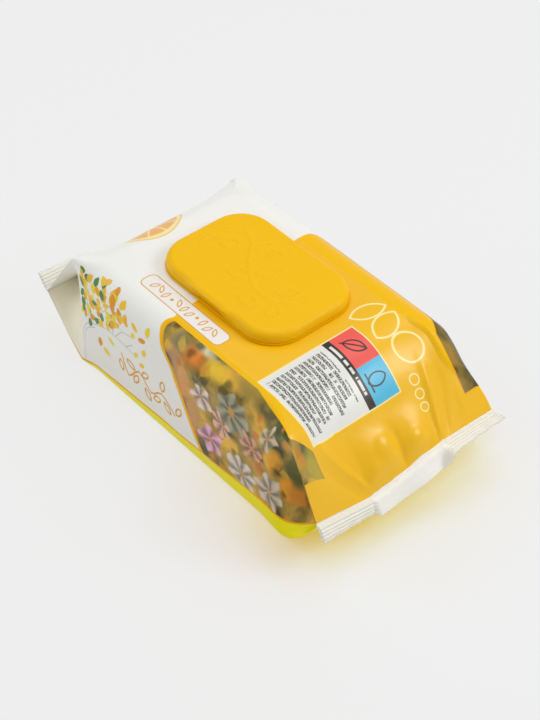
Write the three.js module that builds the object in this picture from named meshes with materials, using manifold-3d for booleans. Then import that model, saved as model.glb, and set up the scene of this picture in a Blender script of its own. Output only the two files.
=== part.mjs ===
// Family pack of wet wipes: a gusseted film pack lying on its back, with a hinged flip-top lid.
// X runs along the pack, Y across it, Z up; the origin is on the floor under the middle of the pack.
// Millimetres.

import * as THREE from 'three';
import { mergeVertices } from 'three/addons/utils/BufferGeometryUtils.js';
import Module from 'manifold-3d';

const wasm = await Module();
wasm.setup();

// driving dimensions
const PACK_WIDTH = 110;
const PACK_HEIGHT = 67.2;
const SEAL_TO_SEAL = 202.4;
const FLAT_LENGTH = 150;
const GUSSET_DEPTH = 33;
const FIN_WIDTH = 10;
const FIN_THICKNESS = 1.2;
const FIN_RIBS = 5;
const RIB_DEPTH = 0.3;
const FIN_BEND = 0.3;
const NEAR_EDGE_RADIUS = 12;
const FAR_EDGE_RADIUS = 18;
const BOTTOM_EDGE_RADIUS = 4;
const SEAM_WIDTH = 12;
const SEAM_GROOVE = 0.5;

const LID_LENGTH = 86.2;
const LID_WIDTH = 58.4;
const LID_X = -5.3;
const LID_Y = 1.1;
const LID_CORNER = 17.5;
const LID_HEIGHT = 6.5;
const LID_WALL = 1.2;
const EDGE_ROUND = 3.6;
const FLANGE_THICKNESS = 0.8;
const FLANGE_RIM = 0.5;
const WINDOW_LENGTH = 54;
const WINDOW_WIDTH = 28;
const COLLAR_WALL = 1.2;
const COLLAR_HEIGHT = 2.2;
const LIFT_LIP_LENGTH = 30;
const LIFT_LIP_REACH = 0.3;
const LIFT_RECESS_DEPTH = 3.2;
const LATCH_LENGTH = 12;
const HINGE_LENGTH = 40;
const HINGE_WEB = 0.35;
const LABEL_THICKNESS = 0.3;
const LABEL_MARGIN = 2.2;
const LABEL_TAB = 9;
const GAP = 0.3;

// What the driving dimensions settle between them.
const HALF_WIDTH = PACK_WIDTH / 2;
const SEAL_X = SEAL_TO_SEAL / 2;
const FLAT_X = FLAT_LENGTH / 2;
const SLOPE_RUN = SEAL_X - FLAT_X;
const FLANGE_BOTTOM = PACK_HEIGHT + GAP;
const FLANGE_TOP = FLANGE_BOTTOM + FLANGE_THICKNESS;
const COVER_BOTTOM = FLANGE_TOP + GAP;
const COVER_TOP = PACK_HEIGHT + LID_HEIGHT;
const COVER_CEILING = COVER_TOP - LID_WALL;
const HINGE_Z = COVER_BOTTOM + 0.7;
const FRONT = LID_Y - LID_WIDTH / 2;
const BACK = LID_Y + LID_WIDTH / 2;

// The two ends of the pack differ a little, as the film settled on the stack of wipes.
// near and far: the corners at -Y and +Y, with `ear` where the corner crease leaves the top,
// `round` the share of the edge radius left there, `drop` how far it hangs and `tip` how much
// further that corner of the fin turns up; brow: where the middle of the top turns down;
// cushion: height of the two bulges of film before the seal; seal: height of the sealed edge;
// belly: how the underside curves up; fold: where the gusset starts; lean, twist, curl: angle of
// the fin at mid-width and how it changes across the width; trim: how much shorter the fin is
// where the gussets double it; sag, sway: the soft wave of the sealed edge.
const YELLOW_END = {
  side: 1,
  near: { ear: 0.28, soft: 0.2, round: 0.12, tip: 0, drop: 0 },
  far: { ear: -0.2, soft: 0.45, round: 0.8, tip: 0, drop: 0 },
  brow: -0.34, browSoft: 0.5, seal: 0.39, belly: 1.9, cushion: 3.4,
  fold: -0.22, foldPower: 1.25, valley: 0.60, lean: -56, twist: 38, curl: 32, trim: 1.4,
  sag: -2.7, sway: 3.4,
};
const WHITE_END = {
  side: -1,
  near: { ear: 0.02, soft: 0.07, round: 0.04, tip: 90, drop: 0 },
  far: { ear: 0.08, soft: 0.13, round: 0.5, tip: 0, drop: 3.5 },
  brow: -0.24, browSoft: 0.24, seal: 0.435, belly: 1.15, cushion: 1.2,
  fold: -0.12, foldPower: 1.0, valley: 0.77, lean: -36, twist: 0, curl: 0, trim: 0,
  sag: -0.8, sway: 0.8,
};

const clamp = THREE.MathUtils.clamp;
const lerp = THREE.MathUtils.lerp;
const smooth = THREE.MathUtils.smoothstep;

// Height of a line that runs level, turns down at `start` and reaches the seal, softened over `soft`.
function slopeDown(u, start, soft, top, bottom) {
  const fall = (top - bottom) / (1 - start);
  const past = u - start;
  const eased = past <= -soft ? 0 : past >= soft ? past : ((past + soft) ** 2) / (4 * soft);
  return top - fall * eased;
}

// Height of the sealed edge across the width of the pack: a soft wave between the gussets,
// straight over the four layers on each side of them.
function sealHeight(end, y) {
  const limit = HALF_WIDTH - GUSSET_DEPTH;
  const across = clamp(y, -limit, limit) / HALF_WIDTH;
  const wave = end.sag * Math.cos((Math.PI / 2) * across) + end.sway * Math.sin(Math.PI * across);
  const fade = clamp((HALF_WIDTH - Math.abs(y)) / GUSSET_DEPTH, 0, 1);
  return end.seal * PACK_HEIGHT + wave * fade;
}

// Height and rounding of one long top edge: full radius along the pack, tighter at the ear,
// sharp at the seal.
function cornerAt(u, shape, radius, sealZ, base) {
  const hang = shape.drop * smooth(u, -0.7, 0) * (1 - smooth(u, 0.3, 1));
  const top = slopeDown(u, shape.ear, shape.soft, PACK_HEIGHT, sealZ + FIN_THICKNESS / 2) - hang;
  const atEar = lerp(1, shape.round, smooth(u, -0.55, shape.ear + 0.05));
  const toSeal = lerp(1, 0.04, smooth(u, 0.1, 0.95));
  return { top, round: Math.min(Math.max(radius * atEar * toSeal, 0.5), (top - base) * 0.3) };
}

// Section of the pack at x: u is 0 where the flat base ends and 1 at the seal.
function sectionAt(x) {
  const end = x < 0 ? WHITE_END : YELLOW_END;
  const u = Math.min((Math.abs(x) - FLAT_X) / SLOPE_RUN, 1);
  const sealZ = end.seal * PACK_HEIGHT;
  const middle = slopeDown(u, end.brow, end.browSoft, PACK_HEIGHT, sealZ + FIN_THICKNESS / 2);
  const base = u <= 0 ? 0 : (sealZ - FIN_THICKNESS / 2) * u ** end.belly;
  const folded = clamp((u - end.fold) / (1 - end.fold), 0, 1);
  const depth = GUSSET_DEPTH * folded ** end.foldPower;
  const valleyStart = lerp(end.valley * PACK_HEIGHT, sealZ, folded);
  const slack = smooth(-u, -0.1, 0.55);
  const near = cornerAt(u, end.near, NEAR_EDGE_RADIUS, sealZ, base);
  const far = cornerAt(u, end.far, FAR_EDGE_RADIUS, sealZ, base);
  const baseRound = Math.min(lerp(0.5, BOTTOM_EDGE_RADIUS, slack), (near.top - base) * 0.3);
  return { end, u, near, far, middle, base, depth, valley: valleyStart, baseRound };
}

// How far the wave of the sealed edge lifts the film at (x, y): nothing on the flat, all at the seal.
function sway(section, y) {
  const wave = sealHeight(section.end, y) - section.end.seal * PACK_HEIGHT;
  return wave * clamp(section.u, 0, 1) ** 3;
}

// Two bulges side by side between the gussets, where the slack film meets the seal.
function cushion(section, y) {
  const limit = HALF_WIDTH - GUSSET_DEPTH;
  if (Math.abs(y) >= limit) return 0;
  const along = smooth(section.u, 0.3, 0.78) * (1 - smooth(section.u, 0.84, 1));
  return section.end.cushion * along * Math.abs(Math.sin((Math.PI * y) / limit));
}

// Top film at (x, y): the middle turns down before the corners, which stand up as ears.
function topHeight(section, y) {
  const out = Math.abs(y) / HALF_WIDTH;
  const towardEdge = smooth(out, 0.42, 1);
  const corner = y < 0 ? section.near : section.far;
  return lerp(section.middle, corner.top, towardEdge) + sway(section, y) + cushion(section, y);
}

function baseHeight(section, y) {
  return section.base + sway(section, y);
}

// Rows of a side wall, from the base edge up: rounded edge, lower flank, valley, upper flank, rounded edge.
const BASE_ARC = 2;
const LOWER_FLANK = 2;
const UPPER_FLANK = 3;
const TOP_ARC = 3;
const SIDE_ROWS = BASE_ARC + LOWER_FLANK + UPPER_FLANK + TOP_ARC;
const PANEL_COLUMNS = 28;

function sidePoint(section, topRound, row, top, base) {
  const valleyRow = BASE_ARC + LOWER_FLANK;
  const archRow = valleyRow + UPPER_FLANK;
  const springing = top - topRound;
  const valley = Math.min(section.valley, lerp(base + section.baseRound, springing, 0.85));
  if (row <= BASE_ARC) {
    const turn = (Math.PI / 2) * (row / BASE_ARC);
    const r = section.baseRound;
    return [HALF_WIDTH - r + r * Math.sin(turn), base + r - r * Math.cos(turn)];
  }
  if (row <= valleyRow) {
    const t = (row - BASE_ARC) / LOWER_FLANK;
    return [HALF_WIDTH - section.depth * t, lerp(base + section.baseRound, valley, t)];
  }
  if (row <= archRow) {
    const t = (row - valleyRow) / UPPER_FLANK;
    return [HALF_WIDTH - section.depth * (1 - t), lerp(valley, springing, t)];
  }
  const turn = (Math.PI / 2) * ((row - archRow) / TOP_ARC);
  const r = topRound;
  return [HALF_WIDTH - r + r * Math.cos(turn), top - r + r * Math.sin(turn)];
}

// Point of the pack's skin for a box vertex: row 0 and column 0 are the lower, -Y edges.
function skinPoint(x, column, row) {
  const section = sectionAt(x);
  const across = (2 * column) / PANEL_COLUMNS - 1;
  const onSide = column === 0 || column === PANEL_COLUMNS;
  const topRound = (across < 0 ? section.near : section.far).round;
  if (onSide) {
    const y = Math.sign(across) * HALF_WIDTH;
    const [out, z] = sidePoint(section, topRound, row, topHeight(section, y), baseHeight(section, y));
    const inFlank = row > BASE_ARC && row < SIDE_ROWS - TOP_ARC;
    const lift = inFlank ? sway(section, Math.sign(across) * out) - sway(section, y) : 0;
    return [x, Math.sign(across) * out, z + lift];
  }
  const share = row / SIDE_ROWS;
  const reach = HALF_WIDTH - lerp(section.baseRound, topRound, share);
  const y = across * reach;
  return [x, y, lerp(baseHeight(section, y), topHeight(section, y), share)];
}

// Point of an end fin: `share` is its place between the seal and the cut edge; the ribs are
// pressed into both faces.
function finPoint(end, share, column, row) {
  const across = (2 * column) / PANEL_COLUMNS - 1;
  const y = across * HALF_WIDTH;
  const corner = across < 0 ? end.near : end.far;
  const tip = corner.tip * smooth(Math.abs(across), 0.05, 0.75);
  const angle = THREE.MathUtils.degToRad(end.lean + end.twist * across + end.curl * across ** 2 + tip);
  const layers = smooth(Math.abs(y), HALF_WIDTH - GUSSET_DEPTH - 4, HALF_WIDTH - GUSSET_DEPTH + 2);
  const thickness = FIN_THICKNESS * lerp(0.7, 1, layers);
  const ribbed = share > 0.1 && share < 0.95;
  const rib = ribbed ? RIB_DEPTH * layers * Math.cos(share * FIN_RIBS * 2 * Math.PI) : 0;
  const off = (row / SIDE_ROWS - 0.5) * thickness + rib;
  const run = share * (FIN_WIDTH - end.trim * layers);
  let out = 0;
  let rise = 0;
  const steps = 8;
  for (let i = 0; i < steps; i += 1) {
    const along = angle * smooth(((i + 0.5) / steps) * run, 0, FIN_WIDTH * FIN_BEND);
    out += (run / steps) * Math.cos(along);
    rise += (run / steps) * Math.sin(along);
  }
  const bend = angle * smooth(run, 0, FIN_WIDTH * FIN_BEND);
  const x = end.side * (SEAL_X + out - off * Math.sin(bend));
  return [x, y, sealHeight(end, y) + rise + off * Math.cos(bend)];
}

// Where the sections stand along the pack: close together on the slopes, apart on the flat.
function bodyStations() {
  const inner = [-1, -0.86, -0.72, -0.5, -0.2, 0.1, 0.4, 0.58, 0.72, 0.84, 0.94].map((t) => t * (FLAT_X - 2));
  const slope = [0, 0.13, 0.25, 0.36, 0.5, 0.64, 0.78, 0.9, 0.985].map((t) => FLAT_X + t * SLOPE_RUN);
  return [...slope.map((x) => -x).reverse(), ...inner, ...slope];
}

function finShares() {
  const steps = FIN_RIBS * 2;
  return Array.from({ length: steps + 1 }, (_, i) => i / steps);
}

function filmPackGeometry() {
  const body = bodyStations();
  const shares = finShares();
  const rings = [
    ...shares.slice().reverse().map((share) => ({ end: WHITE_END, share })),
    ...body.map((x) => ({ x })),
    ...shares.map((share) => ({ end: YELLOW_END, share })),
  ];
  const last = rings.length - 1;
  const geometry = new THREE.BoxGeometry(last, PANEL_COLUMNS, SIDE_ROWS, last, PANEL_COLUMNS, SIDE_ROWS);
  const position = geometry.attributes.position;
  for (let i = 0; i < position.count; i += 1) {
    const ring = rings[Math.round(position.getX(i) + last / 2)];
    const column = Math.round(position.getY(i) + PANEL_COLUMNS / 2);
    const row = Math.round(position.getZ(i) + SIDE_ROWS / 2);
    const point = ring.end ? finPoint(ring.end, ring.share, column, row) : skinPoint(ring.x, column, row);
    position.setXYZ(i, ...point);
  }
  return geometry;
}

// solids by boolean
function solid(geometry) {
  const bare = geometry.clone();
  bare.deleteAttribute('normal');
  bare.deleteAttribute('uv');
  const merged = mergeVertices(bare, 1e-4);
  return new wasm.Manifold(new wasm.Mesh({
    numProp: 3,
    vertProperties: Float32Array.from(merged.attributes.position.array),
    triVerts: Uint32Array.from(merged.index.array),
  }));
}

function geometryOf(manifold) {
  const mesh = manifold.getMesh();
  const geometry = new THREE.BufferGeometry();
  geometry.setAttribute('position', new THREE.BufferAttribute(new Float32Array(mesh.vertProperties), 3));
  geometry.setIndex(new THREE.BufferAttribute(new Uint32Array(mesh.triVerts), 1));
  geometry.computeVertexNormals();
  return geometry;
}

function roundedRectangle(length, width, corner, x = LID_X, y = LID_Y) {
  const r = Math.min(corner, length / 2 - 0.01, width / 2 - 0.01);
  const left = x - length / 2;
  const right = x + length / 2;
  const low = y - width / 2;
  const high = y + width / 2;
  const shape = new THREE.Shape();
  shape.moveTo(left + r, low);
  shape.lineTo(right - r, low);
  shape.absarc(right - r, low + r, r, -Math.PI / 2, 0, false);
  shape.lineTo(right, high - r);
  shape.absarc(right - r, high - r, r, 0, Math.PI / 2, false);
  shape.lineTo(left + r, high);
  shape.absarc(left + r, high - r, r, Math.PI / 2, Math.PI, false);
  shape.lineTo(left, low + r);
  shape.absarc(left + r, low + r, r, Math.PI, 1.5 * Math.PI, false);
  return shape;
}

function plate(shape, bottom, top, curveSegments = 8) {
  const depth = top - bottom;
  const geometry = new THREE.ExtrudeGeometry(shape, { depth, bevelEnabled: false, curveSegments });
  geometry.translate(0, 0, bottom);
  return solid(geometry);
}

function block(x0, x1, y0, y1, z0, z1) {
  const geometry = new THREE.BoxGeometry(x1 - x0, y1 - y0, z1 - z0);
  geometry.translate((x0 + x1) / 2, (y0 + y1) / 2, (z0 + z1) / 2);
  return solid(geometry);
}

// The back seam of the film lies folded flat under the pack; a groove runs along each of its edges.
function backSeamGroove(y) {
  const section = new THREE.Shape();
  section.moveTo(-SEAM_GROOVE, -0.1);
  section.lineTo(SEAM_GROOVE, -0.1);
  section.lineTo(0, SEAM_GROOVE);
  const geometry = new THREE.ExtrudeGeometry(section, { depth: FLAT_LENGTH - 6, bevelEnabled: false });
  geometry.rotateX(Math.PI / 2);
  geometry.rotateZ(Math.PI / 2);
  geometry.translate(-(FLAT_LENGTH - 6) / 2, y, 0);
  return solid(geometry);
}

function filmPack() {
  const film = solid(filmPackGeometry())
    .subtract(backSeamGroove(-SEAM_WIDTH / 2))
    .subtract(backSeamGroove(SEAM_WIDTH / 2));
  return geometryOf(film);
}

// Base of the lid, glued to the film: a thin flange round the dispensing window, a collar
// that the cover's sealing ring closes on, a latch rib at the front and the upstand of the
// hinge web at the back.
function lidFrame() {
  const length = LID_LENGTH + 2 * FLANGE_RIM;
  const width = LID_WIDTH + 2 * FLANGE_RIM;
  const flange = plate(roundedRectangle(length, width, LID_CORNER + FLANGE_RIM), FLANGE_BOTTOM, FLANGE_TOP);
  const window = plate(
    roundedRectangle(WINDOW_LENGTH, WINDOW_WIDTH, WINDOW_WIDTH / 2), FLANGE_BOTTOM - 1, COVER_TOP);
  const collarTop = FLANGE_TOP + COLLAR_HEIGHT;
  const collar = plate(
    roundedRectangle(WINDOW_LENGTH + 2 * COLLAR_WALL, WINDOW_WIDTH + 2 * COLLAR_WALL, LID_WIDTH),
    FLANGE_TOP - 0.1, collarTop);
  const latchY = FRONT + LIFT_RECESS_DEPTH + LID_WALL + GAP;
  const latch = block(
    LID_X - LATCH_LENGTH / 2, LID_X + LATCH_LENGTH / 2, latchY, latchY + LID_WALL,
    FLANGE_TOP - 0.1, collarTop);
  const web = block(
    LID_X - HINGE_LENGTH / 2, LID_X + HINGE_LENGTH / 2,
    BACK + FLANGE_RIM - HINGE_WEB + 0.15, BACK + FLANGE_RIM + 0.15, FLANGE_BOTTOM, HINGE_Z - GAP);
  return geometryOf(flange.add(collar).add(latch).add(web).subtract(window));
}

// Snap cover: a shallow cap with a soft rounded edge, a lift lip over a finger recess at the
// front and a sealing ring under the top that surrounds the collar of the base.
function lidCover() {
  const cap = new THREE.ExtrudeGeometry(
    roundedRectangle(LID_LENGTH - 2 * EDGE_ROUND, LID_WIDTH - 2 * EDGE_ROUND, LID_CORNER - EDGE_ROUND),
    {
      depth: 1,
      bevelEnabled: true,
      bevelThickness: EDGE_ROUND,
      bevelSize: EDGE_ROUND,
      bevelSegments: 6,
      curveSegments: 7,
    });
  cap.translate(0, 0, COVER_TOP - EDGE_ROUND - 1);
  const outline = roundedRectangle(LID_LENGTH, LID_WIDTH, LID_CORNER);
  const skirt = plate(outline, COVER_BOTTOM, COVER_TOP - EDGE_ROUND - 0.5, 7);
  const under = roundedRectangle(LID_LENGTH + 9, LID_WIDTH + 9, LID_CORNER);
  const below = plate(under, COVER_BOTTOM - 20, COVER_BOTTOM, 7);
  const pocket = plate(
    roundedRectangle(LID_LENGTH - 2 * LID_WALL, LID_WIDTH - 2 * LID_WALL, LID_CORNER - LID_WALL),
    COVER_BOTTOM - 1, COVER_CEILING - 1.2, 7);
  const dome = plate(
    roundedRectangle(LID_LENGTH - 2 * EDGE_ROUND, LID_WIDTH - 2 * EDGE_ROUND, LID_CORNER - EDGE_ROUND),
    COVER_BOTTOM - 1, COVER_CEILING, 7);
  const lipBottom = COVER_TOP - 2.2;
  const lip = plate(
    roundedRectangle(LIFT_LIP_LENGTH, 16, 4, LID_X, FRONT - LIFT_LIP_REACH + 8),
    lipBottom, COVER_TOP - 0.9, 4);
  const backWall = block(
    LID_X - LIFT_LIP_LENGTH / 2, LID_X + LIFT_LIP_LENGTH / 2,
    FRONT + LIFT_RECESS_DEPTH - LID_WALL, FRONT + LIFT_RECESS_DEPTH + LID_WALL / 2 - 0.3,
    COVER_BOTTOM, COVER_CEILING + 0.2);
  const recess = plate(
    roundedRectangle(LIFT_LIP_LENGTH - 2, 12, 2.5, LID_X, FRONT + LIFT_RECESS_DEPTH - LID_WALL - 6),
    COVER_BOTTOM - 1, lipBottom, 4);
  const ringLength = WINDOW_LENGTH + 2 * COLLAR_WALL + 2;
  const ringWidth = WINDOW_WIDTH + 2 * COLLAR_WALL + 2;
  const ringOutline = roundedRectangle(ringLength + 2, ringWidth + 2, LID_WIDTH);
  const ring = plate(ringOutline, FLANGE_TOP + 1, COVER_CEILING + 0.2);
  const ringHole = plate(roundedRectangle(ringLength, ringWidth, LID_WIDTH), FLANGE_TOP, COVER_CEILING);
  const shell = solid(cap).add(skirt).subtract(below).subtract(pocket).subtract(dome);
  return geometryOf(shell.add(lip).add(backWall).subtract(recess).add(ring.subtract(ringHole)));
}

// Peel-off label over the pre-cut opening, with a plain pull tab towards one end of the window.
function sealLabel() {
  const length = WINDOW_LENGTH - 2 * LABEL_MARGIN - LABEL_TAB;
  const width = WINDOW_WIDTH - 2 * LABEL_MARGIN;
  const sheet = plate(
    roundedRectangle(length, width, width / 2, LID_X - LABEL_TAB / 2),
    FLANGE_BOTTOM, FLANGE_BOTTOM + LABEL_THICKNESS);
  const tab = plate(
    roundedRectangle(LABEL_TAB * 2, 12, 5, LID_X + length / 2 - LABEL_TAB / 2),
    FLANGE_BOTTOM, FLANGE_BOTTOM + LABEL_THICKNESS, 5);
  return geometryOf(sheet.add(tab));
}

const filmMaterial = new THREE.MeshStandardMaterial({ color: 0xffd000, roughness: 0.42, metalness: 0 });
const lidMaterial = new THREE.MeshStandardMaterial({ color: 0xf4c112, roughness: 0.5, metalness: 0 });
const coverMaterial = new THREE.MeshStandardMaterial({ color: 0xf6c30c, roughness: 0.46, metalness: 0 });
const labelMaterial = new THREE.MeshStandardMaterial({ color: 0xf4f2ea, roughness: 0.35, metalness: 0 });

function piece(name, geometry, material) {
  const mesh = new THREE.Mesh(geometry, material);
  mesh.name = name;
  return mesh;
}

const pack = new THREE.Group();
pack.add(piece('film_pack', filmPack(), filmMaterial));
pack.add(piece('lid_frame', lidFrame(), lidMaterial));
pack.add(piece('lid_cover', lidCover(), coverMaterial));
pack.add(piece('seal_label', sealLabel(), labelMaterial));

export default pack;
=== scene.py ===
import bpy
import numpy as np
from math import copysign, cos, exp, hypot, pi, radians, sin
from mathutils import Matrix, Vector


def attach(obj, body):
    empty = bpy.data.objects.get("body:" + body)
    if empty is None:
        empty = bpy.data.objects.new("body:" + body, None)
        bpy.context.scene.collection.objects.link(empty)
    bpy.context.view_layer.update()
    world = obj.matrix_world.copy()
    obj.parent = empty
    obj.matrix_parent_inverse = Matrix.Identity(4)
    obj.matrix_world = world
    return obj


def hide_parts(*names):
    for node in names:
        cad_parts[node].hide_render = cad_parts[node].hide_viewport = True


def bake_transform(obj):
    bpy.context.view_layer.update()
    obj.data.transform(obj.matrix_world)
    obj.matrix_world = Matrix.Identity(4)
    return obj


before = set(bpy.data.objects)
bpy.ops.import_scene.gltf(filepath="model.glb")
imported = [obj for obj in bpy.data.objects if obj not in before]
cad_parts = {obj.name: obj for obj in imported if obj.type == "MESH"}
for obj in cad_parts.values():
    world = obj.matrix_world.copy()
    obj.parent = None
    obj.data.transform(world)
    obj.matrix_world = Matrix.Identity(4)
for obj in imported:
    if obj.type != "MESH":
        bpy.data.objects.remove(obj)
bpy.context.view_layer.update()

MM = 0.001

# The pack, in millimetres, as the frame has it: X along it, Y across it, Z up.
WIDTH = 110.0
HEIGHT = 67.2
HALF = WIDTH / 2
SEAL_X = 101.2
FLAT_X = 75.0
GUSSET = 33.0
FIN = 10.0
FIN_THICKNESS = 1.2
FIN_RIBS = 6
NEAR_RADIUS = 12.0
FAR_RADIUS = 18.0
BASE_RADIUS = 4.0

LID_X = -5.3
LID_Y = 1.1
LID_LENGTH = 86.2
LID_WIDTH = 58.4
LID_CORNER = 17.5
LID_TOP = HEIGHT + 6.5
LID_BOTTOM = HEIGHT + 1.25
LID_EDGE = 3.6
LIP_HALF = 15.0
LIP_REACH = 0.36
LIP_UNDER = 2.2
LIP_CREST = 1.3
LIP_DIMPLE = 0.8
LID_DOME = 0.25
ORNAMENT_HEIGHT = 0.32
ORNAMENT_HALF = 0.5
# How far the fine skin stands off the cover, outward and up
SKIN_OUT = 0.05
SKIN_UP = 0.04
HINGE_HALF_LENGTH = 20.0
HINGE_HALF_WEB = 0.16

# The two ends. seal and valley are shares of HEIGHT. ear, brow and fold say where the corners, the middle of
# the top and the gusset begin to turn in, from 0 at FLAT_X to 1 at the seal; soft and brow_soft ease that.
# round is what is left of the corner's radius. drop, cushion, trim, sag and sway are in millimetres.
YELLOW_END = dict(
    side=1,
    near=dict(ear=0.28, soft=0.2, round=0.12, drop=0),
    far=dict(ear=-0.2, soft=0.45, round=0.8, drop=0),
    brow=-0.34, brow_soft=0.5, seal=0.39, belly=1.9, cushion=3.4, trim=1.4, fold=-0.22, fold_power=1.25,
    valley=0.60, sag=-2.7, sway=3.4)
WHITE_END = dict(
    side=-1,
    near=dict(ear=0.02, soft=0.07, round=0.04, drop=0),
    far=dict(ear=0.08, soft=0.13, round=0.5, drop=3.5),
    brow=-0.24, brow_soft=0.24, seal=0.435, belly=1.15, cushion=1.2, trim=0, fold=-0.12, fold_power=1.0,
    valley=0.77, sag=-0.8, sway=0.8)

# Folds of film at the seals, as lines (from, to, width, height); a height below 0 is a groove.
YELLOW_FOLDS = [
    ((99, -22), (84, -41), 1.7, 2.0), ((98, -29), (84, -54), 2.6, -0.9), ((99, 1), (88, 2), 1.2, -0.8),
    ((99, 23), (76, 31), 2.1, 2.2), ((97, 29), (76, 40), 2.8, -1.0), ((96, 40), (80, 47), 2.4, 0.7)]
WHITE_FOLDS = [
    ((-98, -22), (-74, -30), 3.0, 1.0), ((-98, 10), (-74, 4), 4.0, 1.0), ((-98, 22), (-74, 26), 3.0, -1.0)]
# Puffs of film before the yellow seal: (middle, radii, height).
YELLOW_PUFFS = [
    ((94.5, -5.5), (7.5, 8), 2.2), ((97.5, 9), (5, 8.5), 2.2), ((98, -15.5), (4, 7), 1.5),
    ((82, 16), (14, 15), 0.5)]
SLACK = 0.22

# Camera of the photograph: degrees, metres, and the focal length in pixels of a picture that high
CAMERA_AZIMUTH = 49.4493
CAMERA_ELEVATION = 43.4658
CAMERA_DISTANCE = 0.89439
CAMERA_RIGHT = 0.003599
CAMERA_UP = 0.014792
FOCAL_PIXELS = 1810.41
PICTURE_PIXELS = 720


# Small maths used by the film and the prints

def clamp(v, low=0.0, high=1.0):
    return max(low, min(high, v))


def lerp(a, b, t):
    return a + (b - a) * t


def smooth(v, low, high):
    t = clamp((v - low) / (high - low))
    return t * t * (3 - 2 * t)


def srgb(r, g, b):
    """Linear colour of 8-bit values."""
    out = []
    for c in (r, g, b):
        c = c / 255
        out.append(c / 12.92 if c <= 0.04045 else ((c + 0.055) / 1.055) ** 2.4)
    return (*out, 1.0)


# Film pack: sections along X, with the folds of the two ends

def slope_down(u, start, soft, top, bottom):
    fall = (top - bottom) / (1 - start)
    past = u - start
    if past <= -soft:
        eased = 0.0
    elif past >= soft:
        eased = past
    else:
        eased = (past + soft) ** 2 / (4 * soft)
    return top - fall * eased


def seal_height(end, y):
    limit = HALF - GUSSET
    across = clamp(y, -limit, limit) / HALF
    wave = end["sag"] * cos(pi / 2 * across) + end["sway"] * sin(pi * across)
    return end["seal"] * HEIGHT + wave * clamp((HALF - abs(y)) / GUSSET)


def corner_at(u, shape, radius, seal_z, base):
    hang = shape["drop"] * smooth(u, -0.7, 0) * (1 - smooth(u, 0.3, 1))
    top = slope_down(u, shape["ear"], shape["soft"], HEIGHT, seal_z + FIN_THICKNESS / 2) - hang
    at_ear = lerp(1, shape["round"], smooth(u, -0.55, shape["ear"] + 0.05))
    to_seal = lerp(1, 0.04, smooth(u, 0.1, 0.95))
    return top, min(max(radius * at_ear * to_seal, 0.5), (top - base) * 0.3)


def section_at(x):
    end = WHITE_END if x < 0 else YELLOW_END
    u = min((abs(x) - FLAT_X) / (SEAL_X - FLAT_X), 1.0)
    seal_z = end["seal"] * HEIGHT
    base = 0.0 if u <= 0 else (seal_z - FIN_THICKNESS / 2) * u ** end["belly"]
    folded = clamp((u - end["fold"]) / (1 - end["fold"]))
    near = corner_at(u, end["near"], NEAR_RADIUS, seal_z, base)
    far = corner_at(u, end["far"], FAR_RADIUS, seal_z, base)
    slack = smooth(-u, -0.1, 0.55)
    return dict(
        end=end, u=u, near=near, far=far, base=base,
        middle=slope_down(u, end["brow"], end["brow_soft"], HEIGHT, seal_z + FIN_THICKNESS / 2),
        depth=GUSSET * folded ** end["fold_power"],
        valley=lerp(end["valley"] * HEIGHT, seal_z, folded),
        base_round=min(lerp(0.5, BASE_RADIUS, slack), (near[0] - base) * 0.3))


def sway(section, y):
    wave = seal_height(section["end"], y) - section["end"]["seal"] * HEIGHT
    return wave * clamp(section["u"]) ** 3


def cushion(section, y):
    limit = HALF - GUSSET
    if abs(y) >= limit:
        return 0.0
    along = smooth(section["u"], 0.3, 0.78) * (1 - smooth(section["u"], 0.84, 1))
    return section["end"]["cushion"] * along * abs(sin(pi * y / limit))


def top_height(section, y):
    toward_edge = smooth(abs(y) / HALF, 0.42, 1)
    corner = section["near"] if y < 0 else section["far"]
    return lerp(section["middle"], corner[0], toward_edge) + sway(section, y) + cushion(section, y)


def base_height(section, y):
    return section["base"] + sway(section, y)


# Rows of a side wall, counted from the top edge down, and columns of the top and of the base
ROWS = dict(arc=8, upper=14, lower=14, base=4)
SIDE_ROWS = sum(ROWS.values())
COLUMNS = 124
TOOTH_PITCH = 4 * HALF / COLUMNS
TOOTH_DEPTH = 0.7
ZONE_SLOT = {"top": 0, "near": 1, "far": 2, "base": 3, "fin": 4}


def side_point(section, side, row):
    """Distance out from the middle, height and print coordinate of a row of a side wall."""
    y = side * HALF
    top_edge, r = section["near"] if side < 0 else section["far"]
    flat_r = NEAR_RADIUS if side < 0 else FAR_RADIUS
    top = top_edge + sway(section, y)
    base = base_height(section, y)
    rb = section["base_round"]
    springing = top - r
    valley = min(section["valley"], lerp(base + rb, springing, 0.85))
    wall_top = HALF - flat_r + pi / 2 * flat_r
    wall_height = HEIGHT - flat_r - BASE_RADIUS
    wall_bottom = wall_top + wall_height
    valley_share = min(section["end"]["valley"] * HEIGHT / wall_height, 0.9) - BASE_RADIUS / wall_height
    valley_t = lerp(wall_bottom, wall_top, valley_share)
    if row <= ROWS["arc"]:
        part = row / ROWS["arc"]
        turn = pi / 2 * part
        return HALF - r + r * sin(turn), springing + r * cos(turn), lerp(HALF - r, wall_top, part)
    row -= ROWS["arc"]
    if row <= ROWS["upper"]:
        part = row / ROWS["upper"]
        out = HALF - section["depth"] * part
        lift = sway(section, side * out) - sway(section, y)
        return out, lerp(springing, valley, part) + lift, lerp(wall_top, valley_t, part)
    row -= ROWS["upper"]
    if row <= ROWS["lower"]:
        part = row / ROWS["lower"]
        out = HALF - section["depth"] * (1 - part)
        lift = sway(section, side * out) - sway(section, y)
        return out, lerp(valley, base + rb, part) + lift, lerp(valley_t, wall_bottom, part)
    part = (row - ROWS["lower"]) / ROWS["base"]
    turn = pi / 2 * part
    return HALF - rb + rb * cos(turn), base + rb - rb * sin(turn), wall_bottom + turn * rb


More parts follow.
